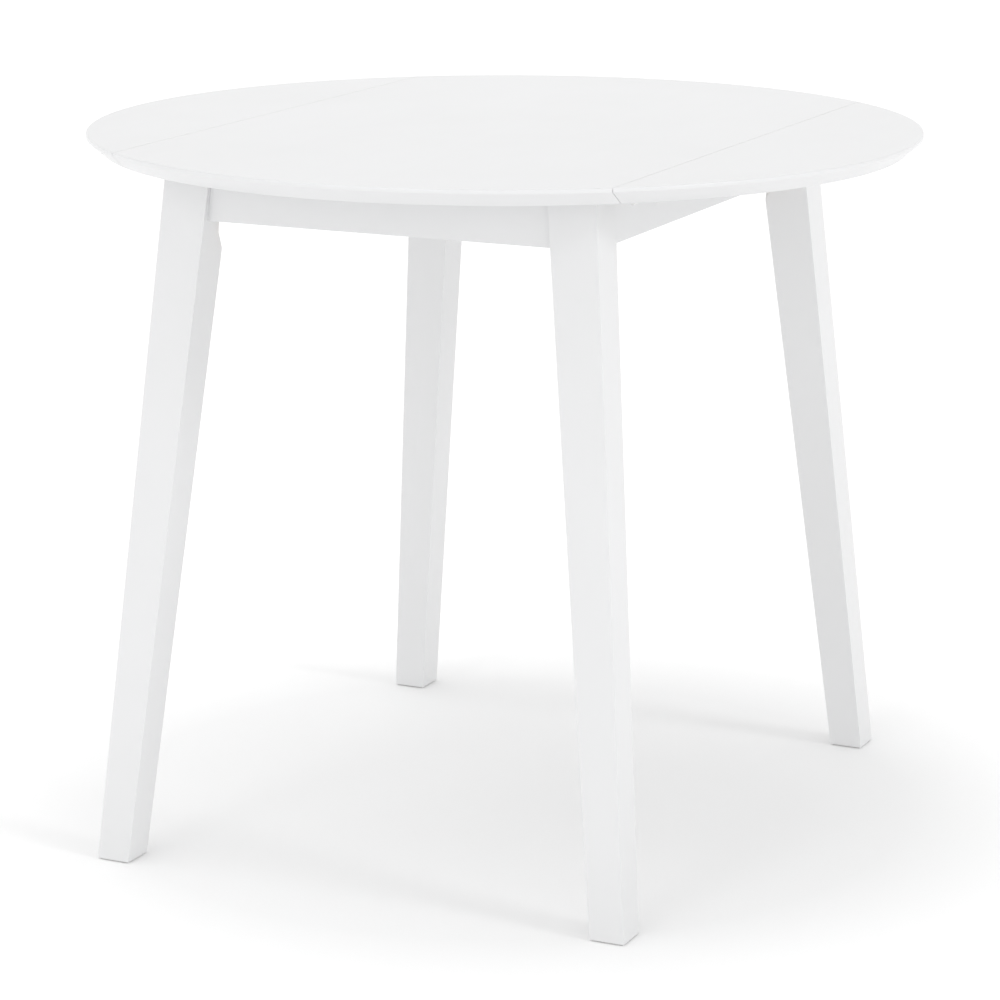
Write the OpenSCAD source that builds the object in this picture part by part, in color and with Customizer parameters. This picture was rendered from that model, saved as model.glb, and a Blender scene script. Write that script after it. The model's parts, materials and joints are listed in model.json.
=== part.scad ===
/* [Tabletop] */
// Diameter of the open round top
top_d = 900; // [890:1:910]
// Height of the top surface above the floor
table_h = 762; // [740:1:780]
// Thickness of the top and the leaves
top_t = 18; // [17:0.5:20]
// Height of the upright band of the rim, above its bevel
rim_h = 4; // [3:0.5:8]
// How far the underside is set in by the rim's bevel
bevel_in = 16; // [10:1:18]
// Radius of the softened upper edge of the rim
rim_r = 1.5; // [0.5:0.5:2.5]
// Distance from the table's centre to each leaf seam
seam_x = 279; // [277:1:281]
// Width of the gap along each seam
seam_gap = 0.5; // [0.4:0.1:1]

/* [Legs] */
// Distance of a leg's outer corner from the centre at the floor, along X
foot_x = 307; // [295:1:310]
// Distance of a leg's outer corner from the centre at the floor, along Y
foot_y = 375.3; // [360:0.1:380]
// Distance of a leg's outer corner from the centre under the top, along X
leg_top_x = 242.4; // [242:0.1:243]
// Distance of a leg's outer corner from the centre under the top, along Y
leg_top_y = 309; // [308:0.5:311]
// Leg width at the floor, along X
foot_wx = 37.4; // [34:0.2:40]
// Leg width at the floor, along Y
foot_wy = 39.3; // [36:0.1:42]
// Leg width under the top, along X
leg_top_wx = 52.6; // [52:0.2:54]
// Leg width under the top, along Y
leg_top_wy = 47; // [46:0.5:48]
// Height where the diagonal flat on a leg's inner corner starts to run out
flat_z = 674; // [670:1:680]
// Height where the diagonal flat has run out to the full leg
knee_z = 656; // [650:1:660]
// Thickness of a foot glide
glide_t = 1.5; // [1:0.5:3]

/* [Frame] */
// Height of the aprons
apron_h = 54; // [52:1:56]
// Thickness of the aprons
apron_t = 20; // [19:0.5:21]
// Distance of the front and back aprons' outer faces from the centre
apron_y = 305; // [304:0.5:306]
// Distance of the side aprons' outer faces from the centre
apron_x = 240; // [239:0.5:241]
// Thickness of the diagonal corner blocks
block_t = 20; // [18:1:22]
// Gap between a corner block and its leg, taken up by the leg bolts
block_gap = 8; // [6:1:10]

/* [Hinges and stays] */
// Length of a leaf hinge
hinge_l = 60; // [56:1:64]
// Distance of a hinge's outer end from the centre, along Y
hinge_end_y = 303; // [300:1:304]
// Length of a stay from its pin to its tip
stay_l = 91.5; // [90:0.5:93]
// Upward slope of a stay when it holds its leaf up, in degrees
stay_up = 19; // [18.5:0.5:19.5]

/* [Hidden] */
$fn = 48;

PAINT = [0.96, 0.96, 0.955];
BARE_WOOD = [0.80, 0.67, 0.48];
ZINC = [0.72, 0.73, 0.75];
NYLON = [0.88, 0.88, 0.87];
RUBBER = [0.20, 0.20, 0.20];

// Tabletop
top_r = top_d / 2;
under_z = table_h - top_t;
apron_z = under_z - apron_h;
big = 1000;

// Softwood screws: shank, head and the thinner pilot hole that they cut into
screw_r = 1.6;
pilot_r = 1.3;
head_r = 3.2;
head_h = 1.5;
screw_play = 0.05;
screw_tip_r = 0.2;
slot_l = 3.4;
slot_w = 0.7;
slot_h = 0.7;
plate_hole_depth = 10;
through = 1;

// Hinges: the pin line lies just below the underside of the top
plate_t = 1.5;
hinge_z = under_z - 2 * plate_t;
knuckle_r = 2.6;
pin_r = 1.2;
bore_r = 1.25;
plate_w = 26;
plate_clear = 3.4;
tab_overlap = 0.5;
knuckle_gap = 0.3;
hinge_screw_in = 17;
hinge_screw_len = 13;

// Leg bolts: two a corner, square to the leg's diagonal flat
inner_x = leg_top_x - leg_top_wx;
flat_past_apron = 3;
flat_sum = inner_x + apron_y - apron_t + flat_past_apron;
bolt_mid_in = 12;
bolt_r = 4;
bolt_tip_r = 1;
bolt_tip_h = 3;
bolt_pilot_r = 3.6;
bolt_block_r = 4.5;
bolt_washer_r = 4.2;
bolt_nut_r = 4.05;
bolt_z = [under_z - 16, under_z - 38];
bolt_in_leg = 34;
washer_t = 1.6;
washer_r = 9.5;
nut_h = 6.5;
nut_r = 7.5;
bolt_past_nut = 4;
block_h = apron_h - 6;
block_outer = flat_sum - block_gap * sqrt(2);
block_inner = block_outer - block_t * sqrt(2);
block_far = block_gap + block_t;
block_screw_z = [under_z - 14, under_z - 40];
block_screw_in = 9;
block_screw_len = 24;
block_screw_along = 12;
head_space = 30;
head_bore_r = 3.6;

// Top brackets: steel angles inside the aprons
angle_l = 28;
angle_w = 18;
angle_t = 2;
angle_hole = 0.62 * angle_l;
angle_screw_len = 15;
front_bracket_x = [-70, 70];
side_bracket_y = [-110, 110];

// Stays
stay_pin_out = 12;
stay_pin_x = apron_x + stay_pin_out;
stay_pin_z = under_z - 35;
stay_pin_r = 2.5;
stay_bore_r = 2.55;
stay_eye_r = 5.5;
stay_w = 12;
stay_bar_t = 6;
ear_t = 2;
ear_gap = 0.6;
bracket_w = 34;
bracket_t = 2;
bracket_low = 5;
bracket_high = 24;
pad_l = 20;
pad_from_tip = 6;
pad_gap = 0.3;
stay_screw_len = 16;
stay_screw_y = 12;
stay_screw_up = 11;

// Corners as [X side, Y side], with front at -Y and left at -X
FL = [-1, -1];
FR = [1, -1];
BL = [-1, 1];
BR = [1, 1];
CORNERS = [FL, FR, BL, BR];

// Value at height z on a straight line from the floor to the underside
function taper(low, high, z) = low + (high - low) * z / under_z;
function leg_x(z) = taper(foot_x, leg_top_x, z);
function leg_y(z) = taper(foot_y, leg_top_y, z);
function leg_wx(z) = taper(foot_wx, leg_top_wx, z);
function leg_wy(z) = taper(foot_wy, leg_top_wy, z);
function inner_sum(z) = leg_x(z) - leg_wx(z) + leg_y(z) - leg_wy(z);
function leg_ring(z) = [
    [leg_x(z) - leg_wx(z), leg_y(z) - leg_wy(z), z],
    [leg_x(z), leg_y(z) - leg_wy(z), z],
    [leg_x(z), leg_y(z), z],
    [leg_x(z) - leg_wx(z), leg_y(z), z]
];

// Moves what is drawn at +X +Y to one of the four corners
module at_corner(c) {
    mirror([c[0] < 0 ? 1 : 0, 0, 0])
        mirror([0, c[1] < 0 ? 1 : 0, 0])
            children();
}

// Moves what is drawn at +X to one side
module at_side(s) {
    mirror([s < 0 ? 1 : 0, 0, 0])
        children();
}

// Turns the Z axis to the horizontal diagonal that points out through a leg
module along_diagonal(x, y, z) {
    translate([x, y, z])
        rotate([0, 90, 45])
            children();
}

// Countersunk wood screw along +Z, its head's face at z = 0
module screw(length) {
    difference() {
        union() {
            cylinder(h = head_h, r1 = head_r - screw_play, r2 = screw_r - screw_play);
            cylinder(h = length - screw_r, r = screw_r - screw_play);
            translate([0, 0, length - screw_r])
                cylinder(h = screw_r, r1 = screw_r - screw_play, r2 = screw_tip_r);
        }
        for (a = [0, 90])
            rotate([0, 0, a])
                translate([-slot_l / 2, -slot_w / 2, -through])
                    cube([slot_l, slot_w, through + slot_h]);
    }
}

// Countersunk clearance hole for a screw, its mouth at z = 0
module screw_hole(depth) {
    mouth = 0.01;
    translate([0, 0, -mouth])
        cylinder(h = head_h + mouth, r1 = head_r, r2 = screw_r);
    cylinder(h = depth, r = screw_r);
}

module pilot_hole(length) {
    translate([0, 0, -through])
        cylinder(h = length + through, r = pilot_r);
}

// ---- Tabletop ----

// The whole round board, before it is cut at the seams
module round_board() {
    edge = [for (a = [0 : 15 : 90]) [top_r - rim_r + rim_r * cos(a), table_h - rim_r + rim_r * sin(a)]];
    profile = concat(
        [[0, under_z], [top_r - bevel_in, under_z], [top_r, table_h - rim_h]],
        edge,
        [[0, table_h]]
    );
    rotate_extrude($fn = 180)
        polygon(profile);
}

// Screw places of one hinge half, x measured from the hinge pin
module hinge_screw_places() {
    for (t = [1 / 6, 1 / 2, 5 / 6])
        translate([hinge_screw_in, hinge_end_y - hinge_l * t, hinge_z + plate_t])
            children();
}

module top_side_hinge_screw_places(c) {
    at_corner(c)
        translate([seam_x, 0, 0])
            mirror([1, 0, 0])
                hinge_screw_places()
                    children();
}

module leaf_side_hinge_screw_places(c) {
    at_corner(c)
        translate([seam_x, 0, 0])
            hinge_screw_places()
                children();
}

module centre_top() {
    half = seam_x - seam_gap / 2;
    color(PAINT)
        difference() {
            intersection() {
                round_board();
                translate([-half, -big / 2, 0])
                    cube([2 * half, big, big]);
            }
            for (c = CORNERS)
                top_side_hinge_screw_places(c)
                    pilot_hole(hinge_screw_len);
            angle_places()
                angle_top_screw_place()
                    pilot_hole(angle_screw_len);
        }
}

module leaf(s) {
    color(PAINT)
        difference() {
            intersection() {
                round_board();
                at_side(s)
                    translate([seam_x + seam_gap / 2, -big / 2, 0])
                        cube([big, big, big]);
            }
            for (y = [-1, 1])
                leaf_side_hinge_screw_places([s, y])
                    pilot_hole(hinge_screw_len);
        }
}

// ---- Frame ----

// Leg at +X +Y: four flat tapered faces, splayed both ways
module leg_post() {
    polyhedron(
        points = concat(leg_ring(glide_t), leg_ring(under_z)),
        faces = [
            [0, 1, 2, 3], [7, 6, 5, 4],
            [0, 4, 5, 1], [1, 5, 6, 2], [2, 6, 7, 3], [3, 7, 4, 0]
        ]
    );
}

// What is cut off a leg's inner corner: an upright diagonal flat that runs out at the knee
module leg_corner_cut() {
    run_out = 40;
    knee_depth = (flat_sum - inner_sum(knee_z)) / sqrt(2);
    translate([flat_sum / 2, flat_sum / 2, 0])
        rotate([0, 0, 45])
            rotate([90, 0, 0])
                linear_extrude(height = 160, center = true)
                    polygon([
                        [0, big], [0, flat_z],
                        [-run_out, flat_z - (flat_z - knee_z) * run_out / knee_depth], [-run_out, big]
                    ]);
}

module leg_bolt_places() {
    mid_x = inner_x + bolt_mid_in;
    for (z = bolt_z)
        along_diagonal(mid_x, flat_sum - mid_x, z)
            children();
}

module leg(c) {
    color(PAINT)
        at_corner(c)
            difference() {
                leg_post();
                leg_corner_cut();
                leg_bolt_places()
                    translate([0, 0, -through])
                        cylinder(h = bolt_in_leg + 2 * through, r = bolt_pilot_r);
            }
}

// Flat pad under a foot, set in a little from the leg's faces
module foot_glide(c) {
    inset = 2;
    color(NYLON)
        at_corner(c)
            translate([foot_x - foot_wx + inset, foot_y - foot_wy + inset, 0])
                cube([foot_wx - 2 * inset, foot_wy - 2 * inset, glide_t]);
}

// Front apron, between the slanted inner faces of two legs
module front_apron() {
    low = leg_x(apron_z) - leg_wx(apron_z);
    high = leg_x(under_z) - leg_wx(under_z);
    translate([0, apron_y, 0])
        rotate([90, 0, 0])
            linear_extrude(height = apron_t)
                polygon([[-low, apron_z], [low, apron_z], [high, under_z], [-high, under_z]]);
}

// Side apron at +X, between the slanted inner faces of two legs
module side_apron() {
    low = leg_y(apron_z) - leg_wy(apron_z);
    high = leg_y(under_z) - leg_wy(under_z);
    translate([apron_x - apron_t, 0, 0])
        rotate([90, 0, 90])
            linear_extrude(height = apron_t)
                polygon([[-low, apron_z], [low, apron_z], [high, under_z], [-high, under_z]]);
}

module apron_front_back(s) {
    color(PAINT)
        mirror([0, s < 0 ? 1 : 0, 0])
            difference() {
                front_apron();
                for (x = [-1, 1])
                    at_corner([x, 1])
                        block_screw_places_front()
                            pilot_hole(block_screw_len);
                for (x = front_bracket_x)
                    front_bracket_place(x)
                        angle_side_screw_place()
                            pilot_hole(angle_screw_len);
            }
}

module apron_left_right(s) {
    color(PAINT)
        at_side(s)
            difference() {
                side_apron();
                for (y = [-1, 1])
                    at_corner([1, y])
                        block_screw_places_side()
                            pilot_hole(block_screw_len);
                for (y = side_bracket_y)
                    side_bracket_place(y)
                        angle_side_screw_place()
                            pilot_hole(angle_screw_len);
                stay_bracket_screw_places()
                    pilot_hole(stay_screw_len);
            }
}

// Screws that hold a corner block to the front apron, and to the side apron
module block_screw_places_front() {
    x = block_inner - (apron_y - apron_t) + block_screw_along;
    for (z = block_screw_z)
        translate([x, apron_y - apron_t - block_screw_in, z])
            rotate([-90, 0, 0])
                children();
}

module block_screw_places_side() {
    y = block_inner - (apron_x - apron_t) + block_screw_along;
    for (z = block_screw_z)
        translate([apron_x - apron_t - block_screw_in, y, z])
            rotate([0, 90, 0])
                children();
}

// Hole for a block screw, and the wider bore that its head goes in by
module block_screw_bore() {
    screw_hole(block_screw_in);
    translate([0, 0, -head_space])
        cylinder(h = head_space, r = head_bore_r);
}

module corner_block(c) {
    inner_face_y = apron_y - apron_t;
    inner_face_x = apron_x - apron_t;
    color(BARE_WOOD)
        at_corner(c)
            difference() {
                translate([0, 0, under_z - (apron_h + block_h) / 2])
                    linear_extrude(height = block_h)
                        polygon([
                            [block_outer - inner_face_y, inner_face_y],
                            [block_inner - inner_face_y, inner_face_y],
                            [inner_face_x, block_inner - inner_face_x],
                            [inner_face_x, block_outer - inner_face_x]
                        ]);
                leg_bolt_places()
                    translate([0, 0, -block_far - through])
                        cylinder(h = block_t + 2 * through, r = bolt_block_r);
                block_screw_places_front()
                    block_screw_bore();
                block_screw_places_side()
                    block_screw_bore();
            }
}

module corner_block_screws() {
    color(ZINC)
        for (c = CORNERS)
            at_corner(c) {
                block_screw_places_front()
                    screw(block_screw_len);
                block_screw_places_side()
                    screw(block_screw_len);
            }
}

// Leg bolts: wood thread in the leg, machine thread through the block
module leg_bolts() {
    length_out = block_far + washer_t + nut_h + bolt_past_nut;
    color(ZINC)
        for (c = CORNERS)
            at_corner(c)
                leg_bolt_places() {
                    translate([0, 0, -length_out])
                        cylinder(h = length_out + bolt_in_leg, r = bolt_r);
                    translate([0, 0, bolt_in_leg])
                        cylinder(h = bolt_tip_h, r1 = bolt_r, r2 = bolt_tip_r);
                }
}

module leg_bolt_washers() {
    color(ZINC)
        for (c = CORNERS)
            at_corner(c)
                leg_bolt_places()
                    translate([0, 0, -block_far - washer_t])
                        difference() {
                            cylinder(h = washer_t, r = washer_r);
                            translate([0, 0, -through])
                                cylinder(h = washer_t + 2 * through, r = bolt_washer_r);
                        }
}

module leg_bolt_nuts() {
    color(ZINC)
        for (c = CORNERS)
            at_corner(c)
                leg_bolt_places()
                    translate([0, 0, -block_far - washer_t - nut_h])
                        difference() {
                            cylinder(h = nut_h, r = nut_r, $fn = 6);
                            translate([0, 0, -through])
                                cylinder(h = nut_h + 2 * through, r = bolt_nut_r);
                        }
}

// Steel angle with one wing against +Y and one wing against the top, its corner at the origin
module angle() {
    difference() {
        union() {
            translate([-angle_w / 2, -angle_l, -angle_t])
                cube([angle_w, angle_l, angle_t]);
            translate([-angle_w / 2, -angle_t, -angle_l])
                cube([angle_w, angle_t, angle_l]);
        }
        angle_top_screw_place()
            screw_hole(plate_hole_depth);
        angle_side_screw_place()
            screw_hole(plate_hole_depth);
    }
}

module angle_top_screw_place() {
    translate([0, -angle_hole, -angle_t])
        children();
}

module angle_side_screw_place() {
    translate([0, -angle_t, -angle_hole])
        rotate([-90, 0, 0])
            children();
}

// Angles: two on each long apron and two on each side apron
module front_bracket_place(x) {
    translate([x, apron_y - apron_t, under_z])
        children();
}

module side_bracket_place(y) {
    translate([apron_x - apron_t, y, under_z])
        rotate([0, 0, -90])
            children();
}

module angle_places() {
    for (s = [-1, 1]) {
        mirror([0, s < 0 ? 1 : 0, 0])
            for (x = front_bracket_x)
                front_bracket_place(x)
                    children();
        at_side(s)
            for (y = side_bracket_y)
                side_bracket_place(y)
                    children();
    }
}

module top_brackets() {
    color(ZINC)
        angle_places()
            angle();
}

module top_bracket_screws() {
    color(ZINC)
        angle_places() {
            angle_top_screw_place()
                screw(angle_screw_len);
            angle_side_screw_place()
                screw(angle_screw_len);
        }
}

// ---- Hinges ----

// One length of hinge barrel along Y, measured back from the hinge's outer end
module knuckle(from, to) {
    translate([0, hinge_end_y - from, hinge_z])
        rotate([90, 0, 0])
            cylinder(h = to - from, r = knuckle_r);
}

module hinge_bore() {
    translate([0, hinge_end_y + through, hinge_z])
        rotate([90, 0, 0])
            cylinder(h = hinge_l + 2 * through, r = bore_r);
}

// Tab that joins a plate to its knuckle
module hinge_tab(from, to) {
    translate([0, hinge_end_y - to, hinge_z + plate_t])
        cube([plate_clear + tab_overlap, to - from, plate_t]);
}

module hinge_plate(knuckles) {
    difference() {
        union() {
            translate([plate_clear, hinge_end_y - hinge_l, hinge_z + plate_t])
                cube([plate_w - plate_clear, hinge_l, plate_t]);
            for (k = knuckles) {
                knuckle(k[0], k[1]);
                hinge_tab(k[0], k[1]);
            }
        }
        hinge_bore();
        hinge_screw_places()
            screw_hole(plate_hole_depth);
    }
}

// The fixed half carries the two end knuckles, and the leaf half the middle one
third = hinge_l / 3;
end_knuckles = [[0, third], [2 * third, hinge_l]];
middle_knuckle = [[third + knuckle_gap, 2 * third - knuckle_gap]];

module hinge_top_plate(c) {
    color(ZINC)
        at_corner(c)
            translate([seam_x, 0, 0])
                mirror([1, 0, 0])
                    hinge_plate(end_knuckles);
}

module hinge_leaf_plate(c) {
    color(ZINC)
        at_corner(c)
            translate([seam_x, 0, 0])
                hinge_plate(middle_knuckle);
}

// Hinge pin with a formed head at each end
module hinge_pin(c) {
    pin_head_t = 0.8;
    pin_head_r = 2;
    color(ZINC)
        at_corner(c)
            translate([seam_x, hinge_end_y, hinge_z])
                rotate([90, 0, 0]) {
                    cylinder(h = hinge_l, r = pin_r);
                    for (end = [-pin_head_t, hinge_l])
                        translate([0, 0, end])
                            cylinder(h = pin_head_t, r = pin_head_r);
                }
}

module hinge_top_screws() {
    color(ZINC)
        for (c = CORNERS)
            top_side_hinge_screw_places(c)
                screw(hinge_screw_len);
}

module hinge_leaf_screws(s) {
    color(ZINC)
        for (y = [-1, 1])
            leaf_side_hinge_screw_places([s, y])
                screw(hinge_screw_len);
}

// ---- Leaf stays ----

module stay_bracket_screw_places() {
    for (y = [-1, 1])
        translate([apron_x + bracket_t, y * stay_screw_y, stay_pin_z + stay_screw_up])
            rotate([0, -90, 0])
                children();
}

// Stay bracket: a plate on the side apron with two ears that carry the pin
module stay_bracket(s) {
    ear_in = stay_w / 2 + ear_gap;
    color(ZINC)
        at_side(s)
            difference() {
                union() {
                    translate([apron_x, -bracket_w / 2, stay_pin_z - bracket_low])
                        cube([bracket_t, bracket_w, bracket_low + bracket_high]);
                    for (y = [-ear_in - ear_t, ear_in])
                        translate([0, y, 0]) {
                            translate([apron_x, 0, stay_pin_z - stay_eye_r])
                                cube([stay_pin_x - apron_x, ear_t, 2 * stay_eye_r]);
                            translate([stay_pin_x, 0, stay_pin_z])
                                rotate([-90, 0, 0])
                                    cylinder(h = ear_t, r = stay_eye_r);
                        }
                }
                translate([stay_pin_x, 0, stay_pin_z])
                    rotate([90, 0, 0])
                        cylinder(h = bracket_w, r = stay_bore_r, center = true);
                stay_bracket_screw_places()
                    screw_hole(plate_hole_depth);
            }
}

module stay_bracket_screws() {
    color(ZINC)
        for (s = [-1, 1])
            at_side(s)
                stay_bracket_screw_places()
                    screw(stay_screw_len);
}

// Stay pin with a flat head at each end
module stay_pin(s) {
    half = stay_w / 2 + ear_gap + ear_t;
    pin_head_t = 1.2;
    pin_head_r = 4;
    color(ZINC)
        at_side(s)
            translate([stay_pin_x, 0, stay_pin_z])
                rotate([90, 0, 0]) {
                    cylinder(h = 2 * half, r = stay_pin_r, center = true);
                    for (end = [-half - pin_head_t, half])
                        translate([0, 0, end])
                            cylinder(h = pin_head_t, r = pin_head_r);
                }
}

// Height of a stay bar's upper face, at a distance x from its pin
function bar_top(x) = x * tan(stay_up) + stay_bar_t / 2 / cos(stay_up);

// Stay arm: an eye on the pin and a flat bar, drawn in the plane of X and Z
module stay_arm(s) {
    color(ZINC)
        at_side(s)
            translate([stay_pin_x, 0, stay_pin_z])
                rotate([0, -stay_up, 0])
                    difference() {
                        union() {
                            rotate([90, 0, 0])
                                cylinder(h = stay_w, r = stay_eye_r, center = true);
                            translate([0, -stay_w / 2, -stay_bar_t / 2])
                                cube([stay_l - stay_w / 2, stay_w, stay_bar_t]);
                            translate([stay_l - stay_w / 2, 0, -stay_bar_t / 2])
                                cylinder(h = stay_bar_t, r = stay_w / 2);
                        }
                        rotate([90, 0, 0])
                            cylinder(h = stay_w + 2 * through, r = stay_bore_r, center = true);
                    }
}

// Stay pad: a wedge on the bar with a level upper face under the leaf
module stay_pad(s) {
    pad_end = stay_l * cos(stay_up) - pad_from_tip;
    pad_start = pad_end - pad_l;
    level = under_z - stay_pin_z - pad_gap;
    color(RUBBER)
        at_side(s)
            translate([stay_pin_x, 0, stay_pin_z])
                rotate([90, 0, 0])
                    linear_extrude(height = stay_w - 1, center = true)
                        polygon([
                            [pad_start, bar_top(pad_start)],
                            [pad_end, bar_top(pad_end)],
                            [pad_end, level],
                            [pad_start, level]
                        ]);
}

centre_top();
leaf(-1);  // leaf_left
leaf(1);  // leaf_right
apron_front_back(-1);  // apron_front
apron_front_back(1);  // apron_back
apron_left_right(-1);  // apron_left
apron_left_right(1);  // apron_right
leg(FL);  // leg_front_left
leg(FR);  // leg_front_right
leg(BL);  // leg_back_left
leg(BR);  // leg_back_right
foot_glide(FL);  // foot_glide_front_left
foot_glide(FR);  // foot_glide_front_right
foot_glide(BL);  // foot_glide_back_left
foot_glide(BR);  // foot_glide_back_right
corner_block(FL);  // corner_block_front_left
corner_block(FR);  // corner_block_front_right
corner_block(BL);  // corner_block_back_left
corner_block(BR);  // corner_block_back_right
corner_block_screws();
leg_bolts();
leg_bolt_washers();
leg_bolt_nuts();
top_brackets();
top_bracket_screws();
hinge_top_plate(FL);  // hinge_top_plate_front_left
hinge_top_plate(FR);  // hinge_top_plate_front_right
hinge_top_plate(BL);  // hinge_top_plate_back_left
hinge_top_plate(BR);  // hinge_top_plate_back_right
hinge_leaf_plate(FL);  // hinge_leaf_plate_front_left
hinge_leaf_plate(FR);  // hinge_leaf_plate_front_right
hinge_leaf_plate(BL);  // hinge_leaf_plate_back_left
hinge_leaf_plate(BR);  // hinge_leaf_plate_back_right
hinge_pin(FL);  // hinge_pin_front_left
hinge_pin(FR);  // hinge_pin_front_right
hinge_pin(BL);  // hinge_pin_back_left
hinge_pin(BR);  // hinge_pin_back_right
hinge_top_screws();
hinge_leaf_screws(-1);  // hinge_leaf_screws_left
hinge_leaf_screws(1);  // hinge_leaf_screws_right
stay_bracket(-1);  // stay_bracket_left
stay_bracket(1);  // stay_bracket_right
stay_bracket_screws();
stay_pin(-1);  // stay_pin_left
stay_pin(1);  // stay_pin_right
stay_arm(-1);  // stay_arm_left
stay_arm(1);  // stay_arm_right
stay_pad(-1);  // stay_pad_left
stay_pad(1);  // stay_pad_right
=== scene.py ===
import json
import math

import bpy
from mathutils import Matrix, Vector

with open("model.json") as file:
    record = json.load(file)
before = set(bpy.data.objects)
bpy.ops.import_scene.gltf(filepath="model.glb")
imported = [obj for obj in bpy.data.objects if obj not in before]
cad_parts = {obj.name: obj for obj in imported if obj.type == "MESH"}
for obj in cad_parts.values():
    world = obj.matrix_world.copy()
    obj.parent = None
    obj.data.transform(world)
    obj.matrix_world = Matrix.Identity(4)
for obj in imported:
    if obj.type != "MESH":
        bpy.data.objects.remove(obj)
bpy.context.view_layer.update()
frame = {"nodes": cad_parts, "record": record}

# Camera, in metres and degrees. Azimuth 0 looks along +Y.
CAMERA_TARGET = Vector((-0.0047, -0.0022, 0.3456))
CAMERA_DISTANCE = 3.912
CAMERA_AZIMUTH = 25.1
CAMERA_ELEVATION = 13.86
CAMERA_LENS = 127.0
CAMERA_SENSOR = 36.0
CAMERA_REACH = 200

# Softened edges of the pieces: node name's start, radius in metres. The hinge plates and stay
# brackets stay sharp, because rounding tears their thin faces between the screw holes.
EDGE_RADIUS = {
    "leg_front": 0.0016,
    "leg_back": 0.0016,
    "apron_": 0.0010,
    "centre_top": 0.00015,
    "leaf_left": 0.00015,
    "leaf_right": 0.00015,
    "corner_block_front": 0.0008,
    "corner_block_back": 0.0008,
    "foot_glide": 0.0004,
    "top_brackets": 0.0003,
    "stay_arm": 0.0005,
    "stay_pad": 0.0006,
}
EDGE_ANGLE = math.radians(30)
EDGE_SEGMENTS = 3
WELD_DISTANCE = 0.00002

# The white studio around the object: its strength low down and high up, and the sines of the
# heights between which it changes
WALL_LIGHT = 1.12
CEILING_LIGHT = 0.75
WALL_TOP = 0.10
CEILING_EDGE = 0.45

# Big soft lamps: the compass angle they shine from, measured from +X towards +Y,
# their height above the floor in degrees, their width in degrees, and their strength
LAMPS = {
    "front_lamp": (260, 36, 16, 0.16),
    "right_lamp": (-5, 31, 15, 0.48),
    "top_lamp": (200, 78, 50, 0.60),
    "front_fill": (280, 6, 50, 0.30),
    "back_lamp": (115, 11, 22, 0.006),
}
LAMP_DISTANCE = 3

# The floor, in metres, and its greys. It has a painted glow, of the first strength up to the near
# distance from the table's middle and of the second from the far one on, so that it stays plain white
# there and the lamps' cast shadows out there are washed out.
FLOOR_HALF = 40.0
FLOOR_GREY = 0.87
FLOOR_SPECKLE = 0.005
FLOOR_GLOW_NEAR = 0.055
FLOOR_GLOW_FAR = 0.18
FLOOR_NEAR = 0.45
FLOOR_FAR = 0.70

# The way the grain runs, by node name's start. Every other wooden node's grain runs along Y.
GRAIN = {"leg": "Z", "apron_front": "X", "apron_back": "X", "corner_block": "X"}


# ---- Node helpers ----

def new_material(name, color, roughness):
    """A material with only its Principled shader, and that shader."""
    material = bpy.data.materials.new(name)
    material.use_nodes = True
    shader = material.node_tree.nodes["Principled BSDF"]
    shader.inputs["Base Color"].default_value = (*color, 1)
    shader.inputs["Roughness"].default_value = roughness
    material.diffuse_color = (*color, 1)
    return material, shader


def stretched_coordinates(tree, stretch):
    """Object coordinates, scaled by stretch along each axis."""
    coordinates = tree.nodes.new("ShaderNodeTexCoord")
    mapping = tree.nodes.new("ShaderNodeMapping")
    mapping.inputs["Scale"].default_value = stretch
    tree.links.new(coordinates.outputs["Object"], mapping.inputs["Vector"])
    return mapping.outputs["Vector"]


def noise(tree, vector, scale, detail=4, rough=0.55, distortion=0.0):
    """Noise from 0 to 1."""
    node = tree.nodes.new("ShaderNodeTexNoise")
    node.inputs["Scale"].default_value = scale
    node.inputs["Detail"].default_value = detail
    node.inputs["Roughness"].default_value = rough
    node.inputs["Distortion"].default_value = distortion
    tree.links.new(vector, node.inputs["Vector"])
    return node.outputs["Fac"]


def remap(tree, value, low, high, from_low=0.3, from_high=0.7):
    """A value carried from one range to another, and held at its ends."""
    node = tree.nodes.new("ShaderNodeMapRange")
    node.inputs["From Min"].default_value = from_low
    node.inputs["From Max"].default_value = from_high
    node.inputs["To Min"].default_value = low
    node.inputs["To Max"].default_value = high
    tree.links.new(value, node.inputs["Value"])
    return node.outputs["Result"]


def ramp(tree, value, stops):
    """Colours along a value: stops are (position, colour)."""
    node = tree.nodes.new("ShaderNodeValToRGB")
    elements = node.color_ramp.elements
    while len(elements) < len(stops):
        elements.new(0.5)
    for element, (position, color) in zip(elements, stops):
        element.position = position
        element.color = (*color, 1)
    tree.links.new(value, node.inputs["Fac"])
    return node.outputs["Color"]


def bump(tree, height, distance, strength, below=None):
    """Bump from a height; the one given as below stays under it."""
    node = tree.nodes.new("ShaderNodeBump")
    node.inputs["Strength"].default_value = strength
    node.inputs["Distance"].default_value = distance
    tree.links.new(height, node.inputs["Height"])
    if below is not None:
        tree.links.new(below, node.inputs["Normal"])
    return node.outputs["Normal"]


def grain_stretch(axis, across=1.0, along=0.06):
    """Scale that draws a texture out along one axis."""
    return tuple(along if name == axis else across for name in "XYZ")


# ---- Materials ----

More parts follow.
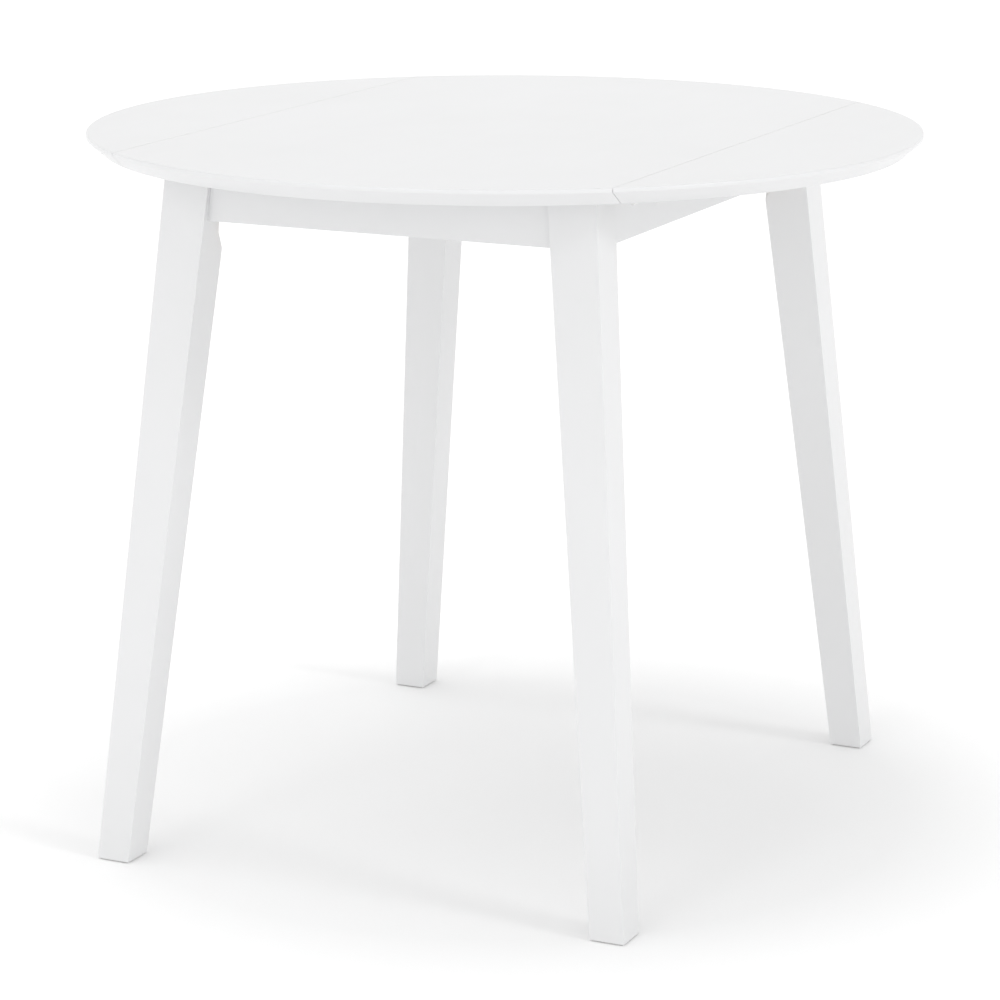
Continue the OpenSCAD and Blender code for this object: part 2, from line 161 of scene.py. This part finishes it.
def lacquer(axis):
    """Satin white lacquer on close-grained wood, with the grain just telegraphing through."""
    white = (0.744, 0.746, 0.751)
    material, shader = new_material("lacquer_" + axis.lower(), white, 0.36)
    tree = material.node_tree
    shader.inputs["IOR"].default_value = 1.48
    shader.inputs["Coat Weight"].default_value = 0.3
    shader.inputs["Coat Roughness"].default_value = 0.22
    plain = stretched_coordinates(tree, (1, 1, 1))
    drawn = stretched_coordinates(tree, grain_stretch(axis))
    cloud = noise(tree, plain, 5.5, 3)
    pores = noise(tree, drawn, 620, 5, 0.62)
    figure = noise(tree, drawn, 46, 4, 0.5, 0.6)
    peel = noise(tree, plain, 900, 2, 0.4)
    tint = ramp(tree, cloud, [
        (0.32, (0.736, 0.738, 0.742)),
        (0.52, white),
        (0.70, (0.750, 0.752, 0.758)),
    ])
    tree.links.new(tint, shader.inputs["Base Color"])
    tree.links.new(remap(tree, figure, 0.35, 0.37), shader.inputs["Roughness"])
    surface = bump(tree, figure, 0.0002, 0.02)
    surface = bump(tree, pores, 0.0001, 0.06, surface)
    surface = bump(tree, peel, 0.00006, 0.18, surface)
    tree.links.new(surface, shader.inputs["Normal"])
    return material


def bare_wood(axis):
    """Planed, uncoated softwood, for the blocks inside the frame."""
    material, shader = new_material("bare_wood", (0.68, 0.52, 0.34), 0.62)
    tree = material.node_tree
    drawn = stretched_coordinates(tree, grain_stretch(axis, 1.0, 0.10))
    rings = noise(tree, drawn, 95, 6, 0.55, 1.2)
    pores = noise(tree, drawn, 900, 4, 0.6)
    tint = ramp(tree, rings, [
        (0.30, (0.56, 0.39, 0.22)),
        (0.47, (0.70, 0.54, 0.35)),
        (0.62, (0.77, 0.63, 0.44)),
        (0.74, (0.64, 0.47, 0.29)),
    ])
    tree.links.new(tint, shader.inputs["Base Color"])
    tree.links.new(remap(tree, pores, 0.54, 0.74), shader.inputs["Roughness"])
    surface = bump(tree, rings, 0.0003, 0.25)
    surface = bump(tree, pores, 0.00015, 0.35, surface)
    tree.links.new(surface, shader.inputs["Normal"])
    return material


def zinc():
    """Zinc-plated steel: bright, with a fine spangle and drawn marks."""
    material, shader = new_material("zinc", (0.60, 0.61, 0.63), 0.34)
    tree = material.node_tree
    shader.inputs["Metallic"].default_value = 1.0
    plain = stretched_coordinates(tree, (1, 1, 1))
    drawn = stretched_coordinates(tree, (1, 0.08, 1))
    spangle = noise(tree, plain, 160, 3)
    marks = noise(tree, drawn, 1400, 3)
    tint = ramp(tree, spangle, [
        (0.35, (0.52, 0.53, 0.56)),
        (0.55, (0.61, 0.62, 0.64)),
        (0.70, (0.68, 0.68, 0.66)),
    ])
    tree.links.new(tint, shader.inputs["Base Color"])
    tree.links.new(remap(tree, marks, 0.26, 0.44), shader.inputs["Roughness"])
    tree.links.new(bump(tree, marks, 0.00005, 0.25), shader.inputs["Normal"])
    return material


def coated_steel(name, color):
    """Powder-coated steel: a fine pebbled skin."""
    material, shader = new_material(name, color, 0.42)
    tree = material.node_tree
    plain = stretched_coordinates(tree, (1, 1, 1))
    pebble = noise(tree, plain, 1500, 2, 0.5)
    cloud = noise(tree, plain, 40, 3)
    darker = tuple(c * 0.95 for c in color)
    tint = ramp(tree, cloud, [(0.35, darker), (0.65, color)])
    tree.links.new(tint, shader.inputs["Base Color"])
    tree.links.new(remap(tree, cloud, 0.36, 0.48), shader.inputs["Roughness"])
    tree.links.new(bump(tree, pebble, 0.00006, 0.35), shader.inputs["Normal"])
    return material


def moulded(name, color, roughness, grain_size):
    """Moulded nylon or rubber with a light grain."""
    material, shader = new_material(name, color, roughness)
    tree = material.node_tree
    plain = stretched_coordinates(tree, (1, 1, 1))
    grain = noise(tree, plain, grain_size, 3)
    scuffs = noise(tree, plain, 90, 4, 0.7)
    darker = tuple(c * 0.88 for c in color)
    tint = ramp(tree, scuffs, [(0.38, darker), (0.62, color)])
    tree.links.new(tint, shader.inputs["Base Color"])
    tree.links.new(remap(tree, scuffs, roughness - 0.08, roughness + 0.08), shader.inputs["Roughness"])
    tree.links.new(bump(tree, grain, 0.0001, 0.3), shader.inputs["Normal"])
    return material


def first_match(name, table, default):
    """The value whose key the name starts with."""
    for start, value in table.items():
        if name.startswith(start):
            return value
    return default


def dress_nodes():
    """Gives every CAD node the material of its slot, and softened edges."""
    slots = {row["node"]: row["material_slot"] for row in frame["record"]["subparts"]}
    makers = {
        "lacquer": lacquer,
        "block_wood": bare_wood,
        "zinc": lambda axis: zinc(),
        "hinge_steel": lambda axis: coated_steel("hinge_steel", (0.78, 0.78, 0.77)),
        "stay_steel": lambda axis: coated_steel("stay_steel", (0.76, 0.76, 0.75)),
        "glide": lambda axis: moulded("glide", (0.62, 0.62, 0.60), 0.45, 1100),
        "pad_rubber": lambda axis: moulded("pad_rubber", (0.045, 0.045, 0.047), 0.68, 1400),
    }
    made = {}
    for name, piece in sorted(frame["nodes"].items()):
        slot = slots[name]
        axis = first_match(name, GRAIN, "Y")
        # The lacquer is the one material that needs a copy for each direction of grain
        key = (slot, axis if slot == "lacquer" else "")
        if key not in made:
            made[key] = makers[slot](axis)
        piece.data.materials.clear()
        piece.data.materials.append(made[key])
        soften(piece, first_match(name, EDGE_RADIUS, 0))


def soften(piece, radius):
    """Joins the mesh's split points and, if a radius is given, rounds its sharp edges."""
    weld = piece.modifiers.new("weld", "WELD")
    weld.merge_threshold = WELD_DISTANCE
    if radius > 0:
        edges = piece.modifiers.new("edges", "BEVEL")
        edges.width = radius
        edges.segments = EDGE_SEGMENTS
        edges.limit_method = "ANGLE"
        edges.angle_limit = EDGE_ANGLE
        edges.harden_normals = True
        edges.use_clamp_overlap = True


# ---- Stage ----

def floor():
    """A pale floor that runs out of view, with a painted glow that is weak near the table and strong
    further out, washing out the shadows there.
    """
    half = FLOOR_HALF
    corners = [(-half, -half, 0), (half, -half, 0), (half, half, 0), (-half, half, 0)]
    mesh = bpy.data.meshes.new("floor")
    mesh.from_pydata(corners, [], [(0, 1, 2, 3)])
    plane = bpy.data.objects.new("floor", mesh)
    bpy.context.scene.collection.objects.link(plane)
    material, shader = new_material("floor", (FLOOR_GREY,) * 3, 0.9)
    shader.inputs["Specular IOR Level"].default_value = 0.1
    shader.inputs["Emission Color"].default_value = (1, 1, 1, 1)
    tree = material.node_tree
    plain = stretched_coordinates(tree, (1, 1, 1))
    reach = tree.nodes.new("ShaderNodeVectorMath")
    reach.operation = "LENGTH"
    tree.links.new(plain, reach.inputs[0])
    # Painted glow: the floor gives off light of its own, more of it far from the table, which washes
    # out the cast shadows there.
    glow = remap(tree, reach.outputs["Value"], FLOOR_GLOW_NEAR, FLOOR_GLOW_FAR, FLOOR_NEAR, FLOOR_FAR)
    tree.links.new(glow, shader.inputs["Emission Strength"])
    speckle = noise(tree, plain, 300, 2)
    darker = (FLOOR_GREY - FLOOR_SPECKLE,) * 3
    lighter = (FLOOR_GREY + FLOOR_SPECKLE,) * 3
    tree.links.new(ramp(tree, speckle, [(0.3, darker), (0.7, lighter)]), shader.inputs["Base Color"])
    mesh.materials.append(material)


def lamp(name, compass, height, width, strength):
    """A far, wide lamp that shines from a compass angle and a height, both in degrees."""
    light = bpy.data.lights.new(name, "SUN")
    light.angle = math.radians(width)
    light.energy = strength
    place = bpy.data.objects.new(name, light)
    turn, rise = math.radians(compass), math.radians(height)
    toward = Vector((math.cos(turn) * math.cos(rise), math.sin(turn) * math.cos(rise), math.sin(rise)))
    place.location = toward * LAMP_DISTANCE
    place.rotation_euler = (-toward).to_track_quat("-Z", "Y").to_euler()
    bpy.context.scene.collection.objects.link(place)


def lights():
    """The white studio, stronger low down than high up, and its lamps."""
    scene = bpy.context.scene
    scene.view_settings.view_transform = "Standard"
    scene.view_settings.look = "None"
    world = bpy.data.worlds.new("studio")
    scene.world = world
    world.use_nodes = True
    tree = world.node_tree
    sky = tree.nodes["Background"]
    sky.inputs["Color"].default_value = (1, 1, 1, 1)
    direction = tree.nodes.new("ShaderNodeTexCoord").outputs["Generated"]
    parts = tree.nodes.new("ShaderNodeSeparateXYZ")
    tree.links.new(direction, parts.inputs["Vector"])
    sky_light = remap(tree, parts.outputs["Z"], WALL_LIGHT, CEILING_LIGHT, WALL_TOP, CEILING_EDGE)
    tree.links.new(sky_light, sky.inputs["Strength"])
    for name, (compass, height, width, strength) in LAMPS.items():
        lamp(name, compass, height, width, strength)


def camera():
    """The scene's camera, placed around its target by distance, azimuth and elevation."""
    azimuth, elevation = math.radians(CAMERA_AZIMUTH), math.radians(CAMERA_ELEVATION)
    away = Vector((
        math.sin(azimuth) * math.cos(elevation),
        -math.cos(azimuth) * math.cos(elevation),
        math.sin(elevation),
    ))
    data = bpy.data.cameras.new("camera")
    data.sensor_width = CAMERA_SENSOR
    data.lens = CAMERA_LENS
    data.clip_end = CAMERA_REACH
    view = bpy.data.objects.new("camera", data)
    view.location = CAMERA_TARGET + away * CAMERA_DISTANCE
    view.rotation_euler = (-away).to_track_quat("-Z", "Y").to_euler()
    bpy.context.scene.collection.objects.link(view)
    bpy.context.scene.camera = view


camera()
lights()
floor()
dress_nodes()
